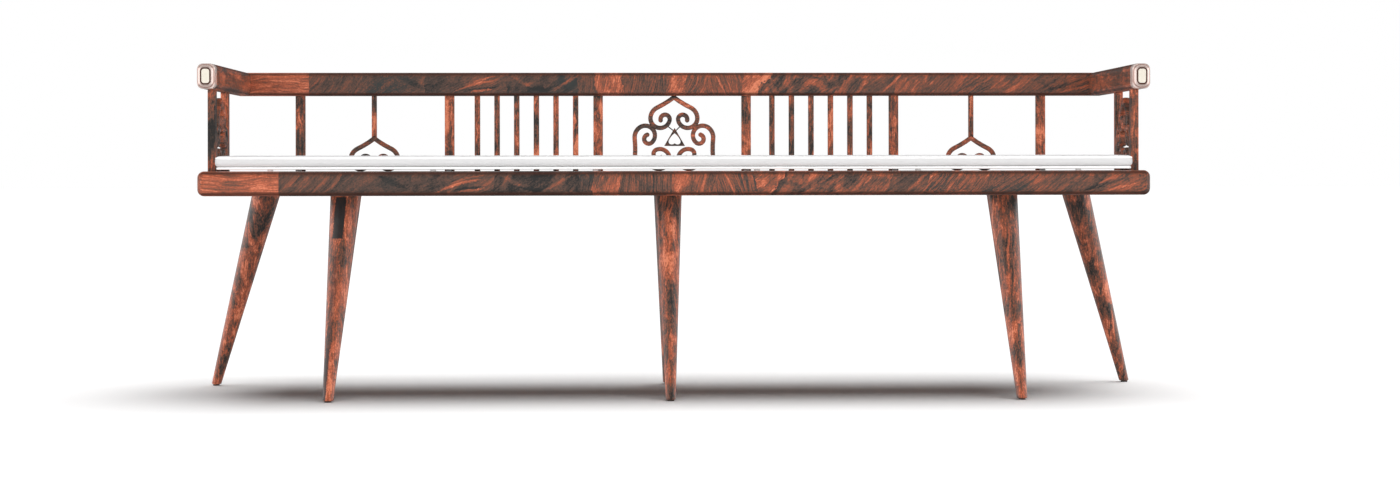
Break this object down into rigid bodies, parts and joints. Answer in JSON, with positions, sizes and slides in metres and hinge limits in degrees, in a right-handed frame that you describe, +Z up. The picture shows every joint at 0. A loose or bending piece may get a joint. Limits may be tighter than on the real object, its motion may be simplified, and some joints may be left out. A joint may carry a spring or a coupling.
{
  "type": "persian takht",
  "caption": "Long low takht bench: round-edged rosewood deck on splayed tapered legs, U-shaped gallery with spindles and scrolled fretwork, thin white mattress.",
  "frame": {"origin": "on the floor under the middle of the deck", "axes": "+X along the bench, to the right as seen from its open front; +Y from the open front to the back rail; +Z up"},
  "size_m": [2.094, 0.516, 0.711],
  "materials": {
    "rosewood": "polished, dark streaks",
    "carcass_wood": "planed, unfinished",
    "dowel_wood": "turned, unfinished",
    "rose_metal": "polished rose metal",
    "white_cover": "plain white cover",
    "felt": "pressed felt",
    "glide": "moulded",
    "screw_steel": "dull"
  },
  "bodies": {
    "root": {"back_rail": "rosewood", "deck_front_rail": "rosewood", "deck_left_end": "rosewood", "deck_panel": "carcass_wood", "deck_rear_rail": "rosewood", "deck_right_end": "rosewood", "foot_glides": "glide", "fret_dowels": "dowel_wood", "left_arm": "rosewood", "left_arm_cap": "rose_metal", "left_bearer": "carcass_wood", "left_front_post": "rosewood", "left_lobe": "rosewood", "left_lobe_stem": "rosewood", "left_rear_post": "rosewood", "left_side_fret": "rosewood", "leg_front_left": "rosewood", "leg_front_middle": "rosewood", "leg_front_right": "rosewood", "leg_rear_left": "rosewood", "leg_rear_middle": "rosewood", "leg_rear_right": "rosewood", "mattress": "white_cover", "mattress_pads": "felt", "middle_bearer": "carcass_wood", "panel_screws": "screw_steel", "rail_corner_splines": "dowel_wood", "right_arm": "rosewood", "right_arm_cap": "rose_metal", "right_bearer": "carcass_wood", "right_front_post": "rosewood", "right_lobe": "rosewood", "right_lobe_stem": "rosewood", "right_rear_post": "rosewood", "right_side_fret": "rosewood", "thin_spindle_left_1": "rosewood", "thin_spindle_left_2": "rosewood", "thin_spindle_left_3": "rosewood", "thin_spindle_left_4": "rosewood", "thin_spindle_left_5": "rosewood", "thin_spindle_left_6": "rosewood", "thin_spindle_right_1": "rosewood", "thin_spindle_right_2": "rosewood", "thin_spindle_right_3": "rosewood", "thin_spindle_right_4": "rosewood", "thin_spindle_right_5": "rosewood", "thin_spindle_right_6": "rosewood", "trefoil_left_lobe": "rosewood", "trefoil_right_lobe": "rosewood", "trefoil_top_lobe": "rosewood", "trefoil_triangle": "rosewood", "triangle_pins": "screw_steel", "wide_spindle_1": "rosewood", "wide_spindle_2": "rosewood", "wide_spindle_3": "rosewood", "wide_spindle_4": "rosewood", "wide_spindle_5": "rosewood", "wide_spindle_6": "rosewood"}
  },
  "joints": []
}
